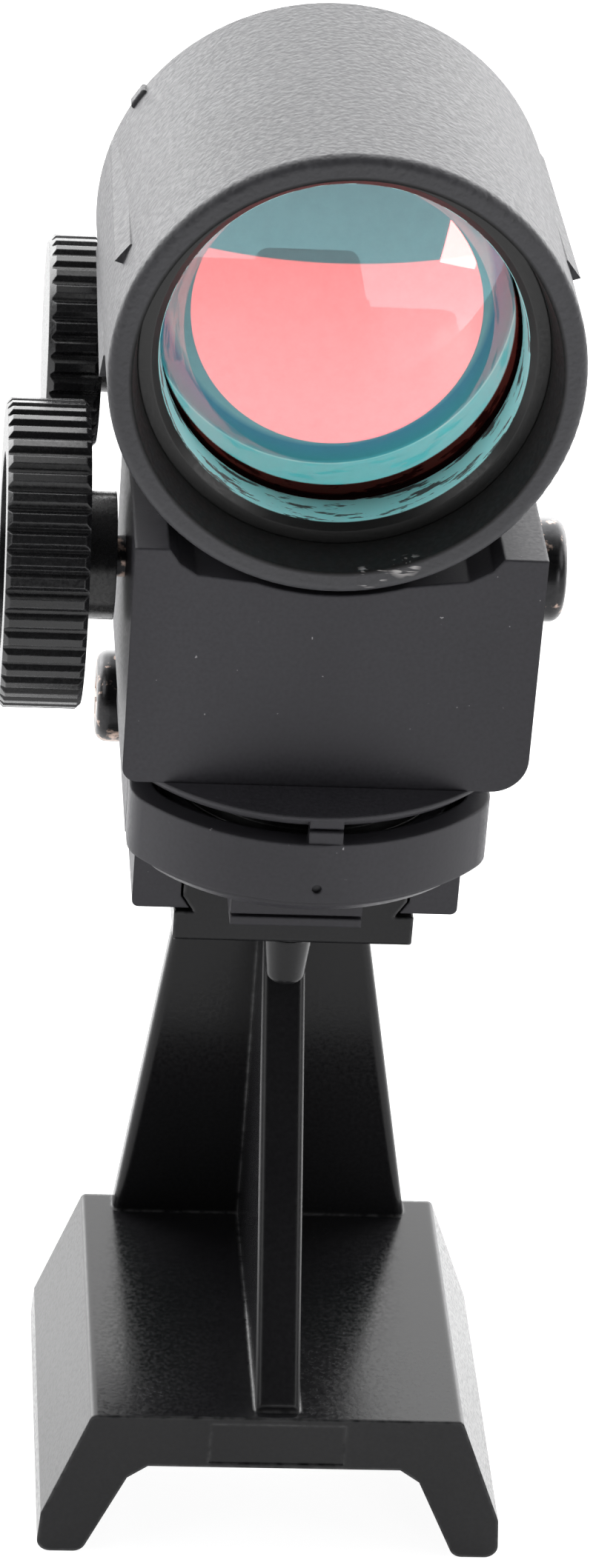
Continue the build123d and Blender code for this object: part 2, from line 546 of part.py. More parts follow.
def make_sight_tube():
    outer = rod_y(0, TUBE_Z, TUBE_R, RIM_Y, TUBE_BACK_Y)
    outer = fillet(near(outer, Axis.Y, RIM_Y - 0.1, RIM_Y + 0.1), 0.7)
    shape = outer + rear_lug(147)
    for angle in RIB_ANGLES:
        shape = shape + grip_rib(angle) + mirror(grip_rib(angle), about=Plane.YZ)
    # lug on the azimuth nut
    lug = rod_x(AZ_Y, AZ_Z, 4.9, -3.1, 3.1) + slab(-3.1, 3.1, AZ_Y - 3.6, AZ_Y + 3.6, AZ_Z, 75.0)
    shape = shape + lug
    tail = slab(-TAIL_HALF, TAIL_HALF, TAIL_Y0, TAIL_Y1, TAIL_Z0, TAIL_TOP_Z)
    tail = fillet(tail.edges().filter_by(Axis.Z).filter_by_position(Axis.Y, TAIL_Y1 - 1, TAIL_Y1 + 1), 1.2)
    turret = rod_x(POWER_Y, POWER_Z, 6.6, -TAIL_HALF, -LAMP_HALF)
    lamp = slab(-LAMP_HALF, LAMP_HALF, TUBE_BACK_Y - 1.0, 31.0, TAIL_TOP_Z - 1, LAMP_TOP_Z)
    lamp_crown = lamp.edges().filter_by(Axis.Y).filter_by_position(Axis.Z, LAMP_TOP_Z - 0.1, LAMP_TOP_Z + 0.1)
    lamp = fillet(lamp_crown, 1.0)
    shape = shape + tail + turret + lamp
    # bores: hood, lens seat, stop and rear
    hood = Pos(0, (RIM_Y + RING_Y0) / 2, TUBE_Z) * Rot(90, 0, 0) * Cone(BORE_R, HOOD_R, RING_Y0 - RIM_Y)
    shape = shape - hood - rod_y(0, TUBE_Z, BORE_R, RING_Y0 - 0.1, SEAT_Y0)
    shape = shape - rod_y(0, TUBE_Z, SEAT_R, SEAT_Y0 - 0.1, STOP_Y0)
    shape = shape - rod_y(0, TUBE_Z, STOP_R, STOP_Y0 - 0.1, STOP_Y1)
    shape = shape - rod_y(0, TUBE_Z, REAR_BORE_R, STOP_Y1 - 0.1, TUBE_BACK_Y - 1.1)
    rear_bore = rod_y(0, TUBE_Z, REAR_BORE_R, TUBE_BACK_Y - 1.2, TUBE_BACK_Y + 1)
    shape = shape - (rear_bore - slab(-LAMP_HALF, LAMP_HALF, 20, 24, 70, LAMP_TOP_Z))
    # nut bore through the lug
    shape = shape - rod_x(AZ_Y, AZ_Z, AZ_NUT_R + RUN, -4, 4)
    # tail cavity, open at the back and under the lamp turret
    shape = shape - slab(-TAIL_CAVITY_HALF, TAIL_CAVITY_HALF, TAIL_CAVITY_Y0, TAIL_Y1 + 1,
                         TAIL_Z0 + TAIL_WALL, TAIL_TOP_Z - TAIL_WALL)
    shape = shape - slab(-TAIL_CAVITY_HALF, -5.2, 21.0, 30.0, 72.0, LAMP_CEILING_Z)
    shape = shape - slab(-2.6, 2.6, 24.6, 29.4, 73.0, LAMP_CEILING_Z)
    shape = shape - rod_y(0, LAMP_Z, 1.55, 20, 25)
    shape = shape - rod_x(POWER_Y, POWER_Z, SPINDLE_R + RUN, -13, -5)
    # altitude screw opening and wire opening in the tail floor
    shape = shape - rod_z(0, ALT_Y, 2.2, TAIL_Z0 - 1, TAIL_Z0 + 2)
    shape = shape - slab(-2.6, 2.6, 25.4, 28.2, TAIL_Z0 - 1, TAIL_Z0 + 2)
    # pocket posts that hold the altitude nut
    post = slab(-4.2, 4.2, ALT_Y - 4.0, ALT_Y + 2.7, TAIL_Z0 + 1.3, 72.6)
    post = post - hex_z(0, ALT_Y, NUT_ACROSS + RUN, ALT_NUT_Z0 - 0.05, 73) - rod_z(0, ALT_Y, 2.2, TAIL_Z0, 71)
    return shape + post


def make_lens():
    # meniscus with a convex front, tilted back about X
    r = LENS_CURVE_R
    ball = Pos(0, r, 0) * Sphere(r)
    hollow = Pos(0, r + LENS_T, 0) * Sphere(r)
    blank = rod_y(0, 0, LENS_R - 0.25, -1, 8)
    disc = (ball & blank) - hollow
    return Pos(0, LENS_Y, TUBE_Z) * Rot(-LENS_TILT, 0, 0) * disc


def make_lens_ring():
    # flanged ring in the hood, its skirt just clear of the glass, its bore narrowing slightly
    flange = rod_y(0, TUBE_Z, BORE_R - 0.02, RING_Y0, SEAT_Y0 - 0.02)
    skirt = rod_y(0, TUBE_Z, SEAT_R - 0.05, SEAT_Y0 - 0.1, RING_BACK_Y)
    length = RING_BACK_Y - RING_Y0 + 0.2
    middle = (RING_BACK_Y + RING_Y0) / 2
    bore = Pos(0, middle, TUBE_Z) * Rot(90, 0, 0) * Cone(RING_BORE_R - 0.25, RING_BORE_R, length)
    ring = flange + skirt - bore
    mouth = near(ring, Axis.Y, RING_Y0 - 0.05, RING_Y0 + 0.05).sort_by(SortBy.LENGTH)[0]
    return chamfer(mouth, 0.5)


def make_rear_cover():
    plate = slab(-10.35, 10.35, TAIL_Y1 - COVER_T, TAIL_Y1, TAIL_Z0 + 1.45, TAIL_TOP_Z - 1.45)
    for side in (-1, 1):
        plate = plate - rod_y(side * COVER_SCREW_X, COVER_SCREW_Z, 0.8, TAIL_Y1 - 2, TAIL_Y1 + 1)
        plate = plate - rod_y(side * COVER_SCREW_X, COVER_SCREW_Z, 1.5, TAIL_Y1 - 0.6, TAIL_Y1 + 1)
    return plate


def cover_post(side):
    x = side * COVER_SCREW_X
    post = slab(x - 1.9, x + 1.9, 30.5, TAIL_Y1 - COVER_T, TAIL_Z0 + 1.3, 73.2)
    return post - rod_y(x, COVER_SCREW_Z, 0.7, 29, TAIL_Y1)


def make_cover_screws():
    group = []
    for side in (-1, 1):
        shank = rod_y(side * COVER_SCREW_X, COVER_SCREW_Z, 0.7, 31.0, TAIL_Y1 - 0.5)
        head = rod_y(side * COVER_SCREW_X, COVER_SCREW_Z, 1.4, TAIL_Y1 - 0.6, TAIL_Y1 + 0.25)
        slot = slab(side * COVER_SCREW_X - 0.15, side * COVER_SCREW_X + 0.15, TAIL_Y1, TAIL_Y1 + 1, 69.5, 73)
        group.append(shank + head - slot)
    return group


def make_circuit_board():
    board = slab(-4.6, 9.8, 24.6, 28.2, 71.6, 72.8)
    chip = slab(4.2, 7.6, 25.0, 27.8, 72.7, 73.7)
    hole = rod_z(-3.6, 27.2, 0.6, 71, 74)
    return board + chip - hole


def make_led():
    flange = rod_y(0, LAMP_Z, 1.5, 24.9, 25.7)
    barrel = rod_y(0, LAMP_Z, 1.25, 23.4, 25.0)
    dome = Pos(0, 23.4, LAMP_Z) * Sphere(1.25)
    shape = flange + barrel + dome
    for side in (-1, 1):
        shape = shape + slab(side * 0.7 - 0.2, side * 0.7 + 0.2, 25.6, 27.2, LAMP_Z - 0.2, LAMP_Z + 0.2)
        shape = shape + slab(side * 0.7 - 0.2, side * 0.7 + 0.2, 26.8, 27.2, 72.8, LAMP_Z + 0.2)
    return shape


def make_lamp_mask():
    # thin disc with the pinhole that makes the dot small
    disc = rod_y(0, LAMP_Z, 1.5, 21.4, 21.8)
    return disc - rod_y(0, LAMP_Z, 0.2, 21, 23)


def make_brightness_switch():
    body = slab(-9.9, -5.6, 21.4, 29.6, 73.2, 81.2)
    body = chamfer(body.edges().filter_by(Axis.X), 1.2)
    lugs = slab(-9.0, -5.9, 22.4, 23.4, 72.3, 73.4) + slab(-9.0, -5.9, 27.6, 28.6, 72.3, 73.4)
    bore = rod_x(POWER_Y, POWER_Z, SPINDLE_R + RUN, -11, -6.6)
    return body + lugs - bore


def make_lead_wires():
    group = []
    for side in (-1, 1):
        x = side * 1.9
        rounded = FilletPolyline((x, 27.0, 71.55), (x, 27.0, 60.6), (x, 17.6, 60.6), radius=2.0)
        start = Plane(rounded @ 0, z_dir=rounded % 0)
        group.append(sweep(start * Circle(0.45), path=rounded))
    return group


def make_power_knob():
    width = POWER_KNOB_X1 - POWER_KNOB_X0
    wheel = ridged_wheel(POWER_KNOB_R - 0.3, POWER_KNOB_R, POWER_RIDGES, width)
    envelope = Pos(0, 0, width / 2) * Cylinder(POWER_KNOB_R, width)
    envelope = chamfer(envelope.edges(), 0.5)
    wheel = wheel & envelope
    hub = Pos(0, 0, width + 1.35) * Cylinder(3.6, 3.0)
    mark = Pos(POWER_KNOB_R, 0, width / 2) * Box(1.0, 0.9, width + 1)
    bore = Pos(0, 0, 6) * Cylinder(SPINDLE_R, 10)
    return along_x(wheel + hub - mark - bore, POWER_KNOB_X0, POWER_Y, POWER_Z)


def make_power_spindle():
    return rod_x(POWER_Y, POWER_Z, SPINDLE_R, POWER_KNOB_X0 + 1.2, -6.9)


# ---------------------------------------------------------------- write the nodes
save("mount_bracket", make_bracket())
save_head("base_housing", make_base_housing())
save_head("saddle_block", make_saddle_block())
save_head("saddle_screws", *make_saddle_screws())
save_head("battery_drawer", make_battery_drawer())
save_head("coin_cell", make_coin_cell())
save_head("contact_top", make_contact_top())
save_head("contact_side", make_contact_side())
save_head("clamp_screw", make_clamp_screw())
save_head("clamp_nut", make_clamp_nut())
save_head("azimuth_knob", make_azimuth_knob())
save_head("azimuth_screw", make_azimuth_screw())
save_head("azimuth_nut", make_azimuth_nut())
save_head("azimuth_spring", make_azimuth_spring())
save_head("altitude_wheel", make_altitude_wheel())
save_head("altitude_screw", make_altitude_screw())
save_head("altitude_nut", make_altitude_nut())
save_head("altitude_spring", make_altitude_spring())
save_head("sight_tube", make_sight_tube() + cover_post(-1) + cover_post(1))
save_head("lens", make_lens())
save_head("lens_ring", make_lens_ring())
save_head("rear_cover", make_rear_cover())
save_head("cover_screws", *make_cover_screws())
save_head("circuit_board", make_circuit_board())
save_head("led", make_led())
save_head("lamp_mask", make_lamp_mask())
save_head("brightness_switch", make_brightness_switch())
save_head("lead_wires", *make_lead_wires())
save_head("power_knob", make_power_knob())
save_head("power_spindle", make_power_spindle())
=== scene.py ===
import math

import bmesh
import bpy
from mathutils import Matrix, Vector


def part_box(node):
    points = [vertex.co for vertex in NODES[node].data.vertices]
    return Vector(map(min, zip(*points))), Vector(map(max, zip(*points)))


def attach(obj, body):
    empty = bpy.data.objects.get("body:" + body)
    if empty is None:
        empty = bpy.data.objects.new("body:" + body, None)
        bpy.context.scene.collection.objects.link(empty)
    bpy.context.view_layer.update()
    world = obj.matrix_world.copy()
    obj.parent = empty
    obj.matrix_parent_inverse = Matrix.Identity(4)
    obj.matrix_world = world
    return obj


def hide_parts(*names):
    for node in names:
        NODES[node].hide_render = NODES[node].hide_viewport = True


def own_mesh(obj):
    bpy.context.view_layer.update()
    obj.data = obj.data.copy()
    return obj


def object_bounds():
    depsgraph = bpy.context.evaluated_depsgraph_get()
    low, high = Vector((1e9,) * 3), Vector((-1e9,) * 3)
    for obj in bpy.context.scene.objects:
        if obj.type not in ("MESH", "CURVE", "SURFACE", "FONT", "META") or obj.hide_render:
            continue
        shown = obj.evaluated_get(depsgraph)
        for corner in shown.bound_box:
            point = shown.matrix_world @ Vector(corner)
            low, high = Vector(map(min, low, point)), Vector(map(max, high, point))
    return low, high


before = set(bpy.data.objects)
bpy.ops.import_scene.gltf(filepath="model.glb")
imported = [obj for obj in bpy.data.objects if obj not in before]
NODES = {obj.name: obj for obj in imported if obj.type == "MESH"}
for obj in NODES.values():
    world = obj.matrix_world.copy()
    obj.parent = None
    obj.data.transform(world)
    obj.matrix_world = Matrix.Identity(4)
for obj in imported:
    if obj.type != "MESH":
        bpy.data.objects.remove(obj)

# Red dot finder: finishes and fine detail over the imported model. Metres, +Z up, -Y is the hood end.

MM = 0.001
CAD_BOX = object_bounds()

# ---------------------------------------------------------------- camera
VIEW_AZIMUTH = math.radians(-5.66)
VIEW_ELEVATION = math.radians(29.526)
VIEW_ROLL = math.radians(4.443)
VIEW_DISTANCE = 375.67 * MM
VIEW_CENTRE = Vector((-0.871, 0.0, 58.267)) * MM
FOCAL_LENGTH = 119.9


def make_camera():
    back = Vector((math.sin(VIEW_AZIMUTH) * math.cos(VIEW_ELEVATION),
                   -math.cos(VIEW_AZIMUTH) * math.cos(VIEW_ELEVATION),
                   math.sin(VIEW_ELEVATION)))
    level = Vector((math.cos(VIEW_AZIMUTH), math.sin(VIEW_AZIMUTH), 0.0))
    up = level.cross(-back)
    side = level * math.cos(VIEW_ROLL) + up * math.sin(VIEW_ROLL)
    top = up * math.cos(VIEW_ROLL) - level * math.sin(VIEW_ROLL)
    data = bpy.data.cameras.new("view_camera")
    data.lens = FOCAL_LENGTH
    data.sensor_width = 36.0
    data.clip_start = 0.01
    data.clip_end = 20.0
    camera = bpy.data.objects.new("view_camera", data)
    bpy.context.scene.collection.objects.link(camera)
    camera.matrix_world = Matrix.Translation(VIEW_CENTRE + back * VIEW_DISTANCE) @ Matrix(
        (side, top, back)).transposed().to_4x4()
    bpy.context.scene.camera = camera


# ---------------------------------------------------------------- studio
# how bright the room is from straight in front (0) to straight behind (1)
SKY_STOPS = ((0.0, 0.012), (0.50, 0.015), (0.62, 0.12), (0.74, 0.85), (1.0, 1.0))
SKY_BEHIND = 4.6
BACKDROP = (0.96, 0.96, 0.965)
FLOOR_REACH = 2.0
FLOOR_COLOUR = (0.25, 0.25, 0.253)
FLOOR_ROUGHNESS = 0.25
FLOOR_GLOW = 0.92
# name, place, size and radiance of each soft light, all aimed at the middle of the part
SOFT_LIGHTS = (
    ("light_top", (0.0, 0.25, 1.0), (1.1, 0.9), 0.8),
    ("light_left", (-0.85, 0.75, 0.30), (0.8, 0.8), 3.0),
    ("light_right", (0.85, 0.60, 0.30), (0.8, 0.8), 1.7),
    ("light_fill_left", (-0.9, -0.25, 0.60), (0.6, 0.6), 2.5),
    ("light_fill_right", (0.9, -0.25, 0.60), (0.6, 0.6), 2.5),
)
# tall narrow softbox that the lens mirrors, aimed at the lens
STRIP_PLACE = (0.256, -0.371, 0.135)
STRIP_SIZE = (0.075, 0.15)
STRIP_RADIANCE = 6.0
STRIP_ROLL = math.radians(-16.6)


def area_light(name, place, aim, size, radiance, roll=0.0):
    data = bpy.data.lights.new(name, "AREA")
    data.shape = "RECTANGLE"
    data.size = size[0]
    data.size_y = size[1]
    data.energy = radiance * math.pi * size[0] * size[1]
    lamp = bpy.data.objects.new(name, data)
    bpy.context.scene.collection.objects.link(lamp)
    lamp.location = place
    turn = (Vector(aim) - Vector(place)).to_track_quat("-Z", "Y").to_matrix()
    lamp.rotation_euler = (turn @ Matrix.Rotation(roll, 3, "Z")).to_euler()
    lamp.visible_camera = False


def make_lights():
    middle = (CAD_BOX[0] + CAD_BOX[1]) / 2
    for name, place, size, radiance in SOFT_LIGHTS:
        area_light(name, place, middle, size, radiance)
    lens_middle = (LENS_LOW + LENS_HIGH) / 2
    area_light("light_strip", STRIP_PLACE, lens_middle, STRIP_SIZE, STRIP_RADIANCE, STRIP_ROLL)


def make_world():
    """Bright soft sky behind the object and a dim room in front of it, over a pale backdrop."""
    world = bpy.data.worlds.new("studio")
    bpy.context.scene.world = world
    world.use_nodes = True
    tree = world.node_tree
    tree.nodes.clear()
    out = tree.nodes.new("ShaderNodeOutputWorld")
    mix = tree.nodes.new("ShaderNodeMixShader")
    seen = tree.nodes.new("ShaderNodeBackground")
    seen.inputs["Color"].default_value = (*BACKDROP, 1.0)
    seen.inputs["Strength"].default_value = 1.0
    light = tree.nodes.new("ShaderNodeBackground")
    path = tree.nodes.new("ShaderNodeLightPath")
    coords = tree.nodes.new("ShaderNodeTexCoord")
    split = tree.nodes.new("ShaderNodeSeparateXYZ")
    ramp = tree.nodes.new("ShaderNodeValToRGB")
    span = tree.nodes.new("ShaderNodeMapRange")
    span.inputs["From Min"].default_value = -1.0
    span.inputs["From Max"].default_value = 1.0
    ramp.color_ramp.interpolation = "EASE"
    stops = ramp.color_ramp.elements
    stops[0].position = SKY_STOPS[0][0]
    stops[1].position = SKY_STOPS[-1][0]
    for place, _ in SKY_STOPS[1:-1]:
        stops.new(place)
    for stop, (_, level) in zip(stops, SKY_STOPS):
        stop.color = (level, level, level, 1.0)
    light.inputs["Strength"].default_value = SKY_BEHIND
    link = tree.links.new
    link(coords.outputs["Generated"], split.inputs[0])
    link(split.outputs["Y"], span.inputs["Value"])
    link(span.outputs["Result"], ramp.inputs["Fac"])
    link(ramp.outputs["Color"], light.inputs["Color"])
    link(path.outputs["Is Camera Ray"], mix.inputs["Fac"])
    link(light.outputs[0], mix.inputs[1])
    link(seen.outputs[0], mix.inputs[2])
    link(mix.outputs[0], out.inputs["Surface"])


def make_floor():
    reach = FLOOR_REACH
    mesh = bpy.data.meshes.new("studio_floor")
    mesh.from_pydata([(-reach, -reach, 0), (reach, -reach, 0), (reach, reach, 0), (-reach, reach, 0)],
                     [], [(0, 1, 2, 3)])
    floor = bpy.data.objects.new("studio_floor", mesh)
    bpy.context.scene.collection.objects.link(floor)
    material = bpy.data.materials.new("studio_floor")
    material.use_nodes = True
    shader = material.node_tree.nodes["Principled BSDF"]
    shader.inputs["Base Color"].default_value = (*FLOOR_COLOUR, 1.0)
    shader.inputs["Roughness"].default_value = FLOOR_ROUGHNESS
    shader.inputs["Emission Color"].default_value = (1.0, 1.0, 1.0, 1.0)
    shader.inputs["Emission Strength"].default_value = FLOOR_GLOW
    mesh.materials.append(material)


# ---------------------------------------------------------------- material kit
class Finish:
    """A node material under construction, with short calls for the nodes that every finish uses."""

    def __init__(self, name):
        self.material = bpy.data.materials.new(name)
        self.material.use_nodes = True
        self.tree = self.material.node_tree
        self.shader = self.tree.nodes["Principled BSDF"]
        self.place = self.node("ShaderNodeTexCoord").outputs["Object"]

    def node(self, kind, **settings):
        made = self.tree.nodes.new(kind)
        for key, value in settings.items():
            setattr(made, key, value)
        return made

    def link(self, source, target):
        self.tree.links.new(source, target)

    def noise(self, size_mm, detail=3.0, rough=0.5, stretch=None):
        source = self.place
        if stretch:
            mapping = self.node("ShaderNodeMapping")
            mapping.inputs["Scale"].default_value = stretch
            self.link(source, mapping.inputs["Vector"])
            source = mapping.outputs["Vector"]
        made = self.node("ShaderNodeTexNoise")
        made.inputs["Scale"].default_value = 1.0 / (size_mm * MM)
        made.inputs["Detail"].default_value = detail
        made.inputs["Roughness"].default_value = rough
        self.link(source, made.inputs["Vector"])
        return made.outputs["Fac"]

    def ramp(self, source, low, high, colour_low, colour_high):
        made = self.node("ShaderNodeValToRGB")
        made.color_ramp.elements[0].position = low
        made.color_ramp.elements[0].color = (*colour_low, 1.0)
        made.color_ramp.elements[1].position = high
        made.color_ramp.elements[1].color = (*colour_high, 1.0)
        self.link(source, made.inputs["Fac"])
        return made.outputs["Color"]

    def spread(self, source, low, high, from_low=0.0, from_high=1.0):
        made = self.node("ShaderNodeMapRange")
        made.inputs["From Min"].default_value = from_low
        made.inputs["From Max"].default_value = from_high
        made.inputs["To Min"].default_value = low
        made.inputs["To Max"].default_value = high
        self.link(source, made.inputs["Value"])
        return made.outputs["Result"]

    def maths(self, operation, first, second):
        made = self.node("ShaderNodeMath", operation=operation)
        for socket, value in zip(made.inputs, (first, second)):
            if isinstance(value, (int, float)):
                socket.default_value = value
            else:
                self.link(value, socket)
        return made.outputs["Value"]

    def blend_colour(self, factor, first, second):
        made = self.node("ShaderNodeMix", data_type="RGBA")
        sockets = (made.inputs["Factor"], made.inputs[6], made.inputs[7])
        for socket, value in zip(sockets, (factor, first, second)):
            if isinstance(value, tuple):
                socket.default_value = (*value, 1.0)
            elif isinstance(value, (int, float)):
                socket.default_value = value
            else:
                self.link(value, socket)
        return made.outputs[2]

    def times(self, colour, factor):
        made = self.node("ShaderNodeVectorMath", operation="SCALE")
        self.link(colour, made.inputs[0])
        self.link(factor, made.inputs["Scale"])
        return made.outputs[0]

    def distance_mm(self, centre, flat=(1.0, 1.0, 1.0)):
        """Distance in mm from centre, a point in the row frame; flat is 0 along an axis to ignore."""
        squeeze = self.node("ShaderNodeVectorMath", operation="MULTIPLY")
        squeeze.inputs[1].default_value = flat
        self.link(self.place, squeeze.inputs[0])
        made = self.node("ShaderNodeVectorMath", operation="DISTANCE")
        self.link(squeeze.outputs[0], made.inputs[0])
        made.inputs[1].default_value = [c * keep for c, keep in zip(centre, flat)]
        return self.maths("MULTIPLY", made.outputs["Value"], 1.0 / MM)

    def near(self, centre, reach_mm, fade_mm, flat=(1.0, 1.0, 1.0)):
        """One within reach of centre, fading to zero."""
        return self.spread(self.distance_mm(centre, flat), 1.0, 0.0, reach_mm, reach_mm + fade_mm)

    def soft_edges(self, radius_mm):
        made = self.node("ShaderNodeBevel", samples=6)
        made.inputs["Radius"].default_value = radius_mm * MM
        return made.outputs["Normal"]

    def bump(self, height, depth_mm, strength, normal=None):
        made = self.node("ShaderNodeBump")
        made.inputs["Distance"].default_value = depth_mm * MM
        made.inputs["Strength"].default_value = strength
        self.link(height, made.inputs["Height"])
        if normal is not None:
            self.link(normal, made.inputs["Normal"])
        return made.outputs["Normal"]

    def edge_mask(self, radius_mm):
        # one on sharp edges, zero on the flats: how far the rounded normal leans from the true one
        rounded = self.soft_edges(radius_mm)
        true = self.node("ShaderNodeNewGeometry").outputs["Normal"]
        dot = self.node("ShaderNodeVectorMath", operation="DOT_PRODUCT")
        self.link(rounded, dot.inputs[0])
        self.link(true, dot.inputs[1])
        return self.spread(dot.outputs["Value"], 1.0, 0.0, 0.80, 0.995)


# roughness added where a moulding is left dead matt
MATT_ROUGHNESS = 0.35


def moulded_plastic(name, dark, light, roughness, grain_mm, grain, edge_mm=0.25, rubbed_and_highlit_edge_tone=None,
                    specular=0.5, zones=(), matt=None):
    """Black injection-moulded plastic: eroded grain, slow flow marks, softened edges, and edges lightened
    partly as slight rubbed wear and partly as a painted edge highlight.

    zones are (colour, factor function) pairs laid over the base colour; matt marks where it is dead matt."""
    f = Finish(name)
    fine = f.noise(grain_mm, 1.0, 0.5)
    coarse = f.noise(grain_mm * 3, 2.0, 0.5)
    flow = f.noise(14.0, 2.0, 0.5, stretch=(1.0, 1.0, 0.35))
    base = f.ramp(flow, 0.35, 0.65, dark, light)
    colour = f.times(base, f.spread(fine, 0.7, 1.3))
    if rubbed_and_highlit_edge_tone:
        # painted edge highlight: edges are lightened towards the edge tone, partly rubbed wear and partly
        # painted light caught on the edge
        worn = f.maths("MULTIPLY", f.edge_mask(edge_mm * 1.4), f.spread(coarse, 0.0, 1.0, 0.35, 0.6))
        colour = f.blend_colour(worn, colour, rubbed_and_highlit_edge_tone)
    for tint, factor in zones:
        colour = f.blend_colour(factor(f), colour, tint)
    f.link(colour, f.shader.inputs["Base Color"])
    rough = f.spread(fine, roughness - 0.06, roughness + 0.06, 0.3, 0.7)
    relief = f.maths("ADD", fine, f.maths("MULTIPLY", coarse, 0.4))
    if matt:
        dull = matt(f)
        rough = f.maths("ADD", rough, f.maths("MULTIPLY", dull, MATT_ROUGHNESS))
        relief = f.maths("MULTIPLY", relief, f.spread(dull, 1.0, 0.3))
    f.link(rough, f.shader.inputs["Roughness"])
    f.shader.inputs["Specular IOR Level"].default_value = specular
    normal = f.bump(relief, 0.02, grain, f.soft_edges(edge_mm))
    f.link(normal, f.shader.inputs["Normal"])
    return f.material


# how far turning streaks move the roughness of a metal part, each way
STREAK_SPREAD = 0.09


def turned_metal(name, colour, roughness, worn=None):
    """Plated or blackened metal with fine turning streaks, blotches and rubbed edges."""
    f = Finish(name)
    streaks = f.noise(0.15, 3.0, 0.6, stretch=(0.15, 1.0, 1.0))
    blotch = f.noise(1.6, 4.0, 0.6)
    darker = tuple(c * 0.6 for c in colour)
    tone = f.ramp(blotch, 0.35, 0.65, darker, colour)
    if worn:
        mask = f.maths("ADD", f.edge_mask(0.5), f.spread(blotch, 0.0, 0.9, 0.55, 0.62))
        tone = f.blend_colour(f.maths("MINIMUM", mask, 1.0), tone, worn)
    f.link(tone, f.shader.inputs["Base Color"])
    f.shader.inputs["Metallic"].default_value = 1.0
    rough = f.spread(streaks, roughness - STREAK_SPREAD, roughness + STREAK_SPREAD)
    f.link(rough, f.shader.inputs["Roughness"])
    f.link(f.bump(streaks, 0.01, 0.3, f.soft_edges(0.15)), f.shader.inputs["Normal"])
    return f.material


# the hood's inner wall and the retaining ring's bore, radii in mm
HOOD_WALL_R = 14.72
RING_BORE_R = 12.72
HOOD_BLACK = (0.004, 0.004, 0.004)
CEMENT = (0.42, 1.0, 1.0)
SCRATCH = (0.55, 0.53, 0.52)
SPECK = (0.30, 0.29, 0.30)


def inside_bore(f):
    """One on the walls of the tube's bore, zero outside it."""
    return f.near(SIGHT_AXIS, HOOD_WALL_R, 0.25, (1.0, 0.0, 1.0))


def scratches(f):
    """Bare scraped marks low on the rim."""
    spot = f.maths("MAXIMUM", f.near(SIGHT_AXIS + Vector((4.8, -5.5, -13.6)) * MM, 0.9, 0.5),
                   f.near(SIGHT_AXIS + Vector((2.6, -5.5, -14.7)) * MM, 0.8, 0.5))
    marks = f.noise(0.9, 2.0, 0.6, stretch=(0.5, 1.0, 2.2))
    return f.maths("MULTIPLY", spot, f.spread(marks, 0.0, 0.7, 0.54, 0.60))


def specks(f):
    """Sparse pale dust and scuffs."""
    return f.spread(f.noise(0.6, 2.0, 0.6), 0.0, 1.0, 0.755, 0.78)


def cement(f):
    """Streaky pale cement inside the retaining ring, broken by black flecks."""
    bore = f.near(SIGHT_AXIS, RING_BORE_R, 0.05, (1.0, 0.0, 1.0))
    streaks = f.spread(f.noise(4.0, 4.0, 0.65, stretch=(1.0, 5.0, 1.0)), 0.0, 1.0, 0.43, 0.47)
    return f.maths("MULTIPLY", bore, f.maths("ADD", f.maths("MULTIPLY", streaks, 0.9), 0.1))


def make_materials():
    moulded = {
        # the bracket and knob edge tones are partly rubbed wear and partly a painted edge highlight
        "bracket_plastic": dict(dark=(0.009, 0.009, 0.010), light=(0.013, 0.013, 0.014), roughness=0.20,
                                grain_mm=0.30, grain=0.20, edge_mm=0.35,
                                rubbed_and_highlit_edge_tone=(0.075, 0.075, 0.077), specular=0.24),
        "housing_plastic": dict(dark=(0.030, 0.029, 0.034), light=(0.040, 0.039, 0.045), roughness=0.45,
                                grain_mm=0.30, grain=0.30, edge_mm=0.30, specular=0.28,
                                zones=((SPECK, specks),)),
        "tube_plastic": dict(dark=(0.036, 0.036, 0.040), light=(0.046, 0.046, 0.051), roughness=0.50,
                             grain_mm=0.40, grain=3.0, edge_mm=0.12, specular=0.42,
                             zones=((HOOD_BLACK, inside_bore), (SCRATCH, scratches)), matt=inside_bore),
        "knob_plastic": dict(dark=(0.010, 0.010, 0.011), light=(0.016, 0.016, 0.017), roughness=0.26,
                             grain_mm=0.25, grain=0.2, edge_mm=0.12, rubbed_and_highlit_edge_tone=(0.09, 0.09, 0.095)),
        "inner_plastic": dict(dark=(0.007, 0.007, 0.007), light=(0.011, 0.011, 0.011), roughness=0.35,
                              grain_mm=0.25, grain=0.3, edge_mm=0.15, zones=((CEMENT, cement),)),
        "board_green": dict(dark=(0.02, 0.12, 0.06), light=(0.03, 0.18, 0.09), roughness=0.35,
                            grain_mm=0.3, grain=0.2),
        "lamp_red": dict(dark=(0.45, 0.02, 0.02), light=(0.7, 0.05, 0.04), roughness=0.15,
                         grain_mm=0.3, grain=0.1),
        "wire_black": dict(dark=(0.02, 0.02, 0.02), light=(0.03, 0.03, 0.03), roughness=0.5,
                           grain_mm=0.2, grain=0.3),
    }
    turned = {
        "black_screw": dict(colour=(0.05, 0.05, 0.052), roughness=0.30, worn=(0.50, 0.37, 0.31)),
        "steel": dict(colour=(0.62, 0.61, 0.60), roughness=0.35),
        "spring_steel": dict(colour=(0.60, 0.60, 0.60), roughness=0.25),
        "brass": dict(colour=(0.75, 0.58, 0.28), roughness=0.35),
        "cell_steel": dict(colour=(0.14, 0.14, 0.14), roughness=0.45),
    }
    materials = {name: moulded_plastic(name, **look) for name, look in moulded.items()}
    materials.update({name: turned_metal(name, **look) for name, look in turned.items()})
    materials["coated_glass"] = coated_glass()
    return materials


